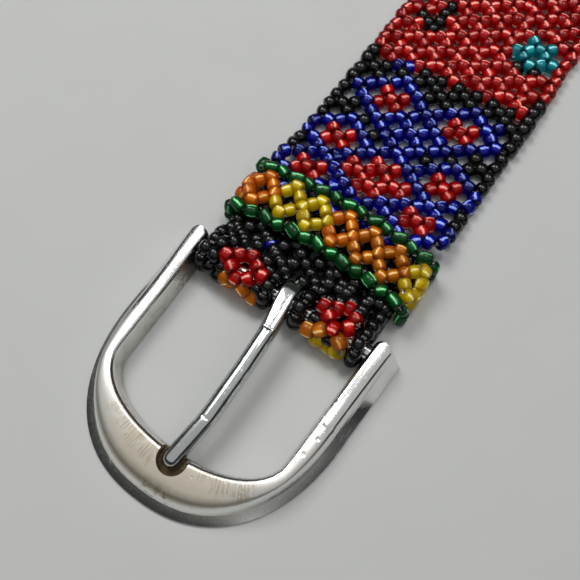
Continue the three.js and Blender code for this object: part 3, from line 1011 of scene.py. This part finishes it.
@dataclass
class CastFrame:
    """The horseshoe casting: a merged copy of the CAD's, with its edges eased.

    Attributes:
        ease: width of the eased edges.
        crease_degrees: the least angle that counts as an edge.
        middle: a place along the belt inside the frame.
        foot, foot_room: height of the flank's lower edge, and how closely it is looked for.
        rim_width, rim_fade: width of the polished rim, and of its fade into the crown.
        flank_width, flank_room: width of the flank outside the crown, and its crease's room.
    """

    ease: float = 0.22
    crease_degrees: float = 38.0
    middle: float = -45.0
    foot: float = 0.5
    foot_room: float = 0.1
    rim_width: float = 0.6
    rim_fade: float = 0.8
    flank_width: float = 1.6
    flank_room: float = 0.2

    def build(self) -> None:
        """Make the casting."""
        shape = merged_copy("buckle_frame")
        for edge in shape.edges:
            edge.smooth = len(edge.link_faces) == 2 and math.degrees(edge.calc_face_angle(0)) < self.crease_degrees
        self.mark_rim(shape)
        piece = finished_piece("buckle_casting", shape, "buckle_frame", "cast_metal", "buckle_frame")
        bevel = piece.modifiers.new("eased edges", "BEVEL")
        bevel.width = self.ease * MM
        bevel.segments = 2
        bevel.limit_method = "ANGLE"
        bevel.angle_limit = math.radians(self.crease_degrees)
        weighted = piece.modifiers.new("flat faces first", "WEIGHTED_NORMAL")
        weighted.keep_sharp = True

    def boundary(self, shape: bmesh.types.BMesh, inward: bool) -> KDTree:
        """The plan places of the inner wall, or those of the outer foot.

        Args:
            shape: the casting.
            inward: True for the inner wall.

        Returns:
            The places, to find the nearest of.
        """
        middle = Vector((0, self.middle * MM))
        found = []
        for vert in shape.verts:
            faces_in = vert.normal.xy.dot(middle - vert.co.xy) > 0
            if inward and faces_in and abs(vert.normal.z) < 0.5:
                found.append(vert.co.xy.to_3d())
            if not inward and not faces_in and abs(vert.co.z / MM - self.foot) < self.foot_room:
                found.append(vert.co.xy.to_3d())
        tree = KDTree(len(found))
        for place, co in enumerate(found):
            tree.insert(co, place)
        tree.balance()
        return tree

    def mark_rim(self, shape: bmesh.types.BMesh) -> None:
        """Mark the rim with its wall, and the outer flank, in two attributes.

        Args:
            shape: the casting.
        """
        rim = shape.verts.layers.float.new("rim")
        flank = shape.verts.layers.float.new("flank")
        inner, outer = self.boundary(shape, True), self.boundary(shape, False)
        crease = set()
        for vert in shape.verts:
            plan = vert.co.xy.to_3d()
            from_wall = inner.find(plan)[2] / MM
            to_foot = outer.find(plan)[2] / MM
            vert[rim] = 1 - smooth_step((from_wall - self.rim_width) / self.rim_fade)
            off = to_foot - self.flank_width
            vert[flank] = 1 - smooth_step((off / self.flank_room + 1) / 2)
            if abs(off) < self.flank_room and vert.co.z > 2 * self.foot * MM:
                crease.add(vert)
        for edge in shape.edges:
            if crease.issuperset(edge.verts):
                edge.smooth = False


@dataclass
class Prong:
    """The prong: a smooth copy of the CAD's."""

    def build(self) -> None:
        """Make the prong."""
        shape = merged_copy("prong")
        bmesh.ops.subdivide_edges(shape, edges=shape.edges[:], cuts=1, use_grid_fill=True, smooth=0.0)
        for face in shape.faces:
            face.smooth = True
        finished_piece("prong_rod", shape, "prong", "polished_steel", "prong")


def merged_copy(node: str) -> bmesh.types.BMesh:
    """A CAD node's mesh with its loose triangles joined and shaded smooth."""
    shape = bmesh.new()
    shape.from_mesh(frame["nodes"][node].data)
    bmesh.ops.remove_doubles(shape, verts=shape.verts[:], dist=0.002 * MM)
    for face in shape.faces:
        face.smooth = True
    return shape


@dataclass
class PhotoCamera:
    """The photograph's camera."""

    target: Vector = field(default_factory=lambda: Vector((-0.9, -27.9, 0.0)) * MM)
    azimuth: float = 36.05
    elevation: float = 65.49
    roll: float = -1.03
    distance: float = 142.64 * MM
    focal_pixels: float = 749.45
    width_pixels: float = 580.0
    sensor: float = 36.0

    def build(self) -> None:
        """Make it the scene's camera."""
        azimuth, elevation, roll = (math.radians(a) for a in (self.azimuth, self.elevation, self.roll))
        right = Vector((math.cos(azimuth), math.sin(azimuth), 0))
        back = Vector((
            math.sin(azimuth) * math.cos(elevation), -math.cos(azimuth) * math.cos(elevation), math.sin(elevation),
        ))
        up = back.cross(right)
        turned_right = right * math.cos(roll) + up * math.sin(roll)
        turned_up = up * math.cos(roll) - right * math.sin(roll)
        lens = bpy.data.cameras.new("camera")
        lens.sensor_width = self.sensor
        lens.lens = self.focal_pixels / self.width_pixels * self.sensor
        lens.clip_start = 0.005
        camera = bpy.data.objects.new("camera", lens)
        place = Matrix((turned_right, turned_up, back)).transposed().to_4x4()
        place.translation = self.target + back * self.distance
        camera.matrix_world = place
        bpy.context.scene.collection.objects.link(camera)
        bpy.context.scene.camera = camera


@dataclass(frozen=True)
class SoftLight:
    """One soft lamp, aimed at the belt or hung level above it."""

    name: str
    place: tuple[float, float, float]
    width: float
    height: float
    watts: float
    aimed: bool = True
    colour: tuple[float, float, float] = (1.0, 1.0, 1.0)

    def build(self) -> None:
        """Hang the lamp."""
        data = bpy.data.lights.new(self.name, "AREA")
        data.shape = "RECTANGLE"
        data.size = self.width
        data.size_y = self.height
        data.energy = self.watts
        data.color = self.colour
        lamp = bpy.data.objects.new(self.name, data)
        lamp.location = self.place
        if self.aimed:
            aim = Vector((0, -0.02, 0)) - Vector(self.place)
            lamp.rotation_euler = aim.to_track_quat("-Z", "Y").to_euler()
        bpy.context.scene.collection.objects.link(lamp)


@dataclass
class Studio:
    """Pale floor, soft lamps and a dim room."""

    floor_colour: tuple[float, float, float] = (0.62, 0.63, 0.615)
    room_colour: tuple[float, float, float] = (0.62, 0.64, 0.66)
    room_strength: float = 0.05
    lamps: tuple[SoftLight, ...] = (
        SoftLight("ceiling", (0.0, -0.125, 0.80), 2.3, 1.75, 5.6, False),
        SoftLight("key", (-0.32, 0.13, 0.52), 0.26, 0.26, 1.5),
        SoftLight("lamp", (0.06, 0.20, 0.60), 0.16, 0.16, 0.8),
    )

    def build(self) -> None:
        """Set the floor, the lamps and the room."""
        shape = bmesh.new()
        bmesh.ops.create_grid(shape, x_segments=1, y_segments=1, size=1.2)
        mesh = bpy.data.meshes.new("floor")
        shape.to_mesh(mesh)
        shape.free()
        material, graph, shader = start_material("floor")
        place = graph.node("ShaderNodeTexCoord").outputs["Object"]
        cloud = graph.noise(place, 60.0, 2.0)
        dim = tuple(0.95 * c for c in self.floor_colour)
        graph.tree.links.new(graph.mix(cloud, (*dim, 1), (*self.floor_colour, 1)), shader.inputs["Base Color"])
        shader.inputs["Roughness"].default_value = 0.8
        shader.inputs["Specular IOR Level"].default_value = 0.2
        mesh.materials.append(material)
        floor = bpy.data.objects.new("floor", mesh)
        bpy.context.scene.collection.objects.link(floor)
        for lamp in self.lamps:
            lamp.build()
        world = bpy.data.worlds.new("room")
        world.use_nodes = True
        background = world.node_tree.nodes["Background"]
        background.inputs["Color"].default_value = (*self.room_colour, 1)
        background.inputs["Strength"].default_value = self.room_strength
        bpy.context.scene.world = world
        bpy.context.scene.view_settings.view_transform = "Standard"


def main() -> None:
    """Build the view, the finishes and the belt's pieces in order."""
    logging.basicConfig(level=logging.INFO, format="%(name)s %(message)s")
    PhotoCamera().build()
    Studio().build()
    EFFECTS.build()
    for finish in (*BEAD_FINISHES, SilverLining(), BeadingThread(), CastNickel(), PolishedSteel()):
        finish.material()
    path = NetPath()
    stringer = BeadStringer()
    stringer.string("strap_net", StrapNet(path).beads(), "strap", "strap")
    stringer.string("fold_back", FoldBack(path).beads(), "strap", "strap")
    stringer.string("left_lobe", FoldLobe(path, -8.78, 0.1, -1.9, -17.65, Glass.ORANGE).beads(), "strap", "strap")
    stringer.string("right_lobe", FoldLobe(path, 11.57, 1.87, 3.5, 17.65, Glass.YELLOW, -1.75).beads(), "strap", "strap")
    stringer.string("keeper_band", KeeperBand().beads(), "strap", "keeper_band")
    CastFrame().build()
    Prong().build()


if __name__ == "__main__":
    main()
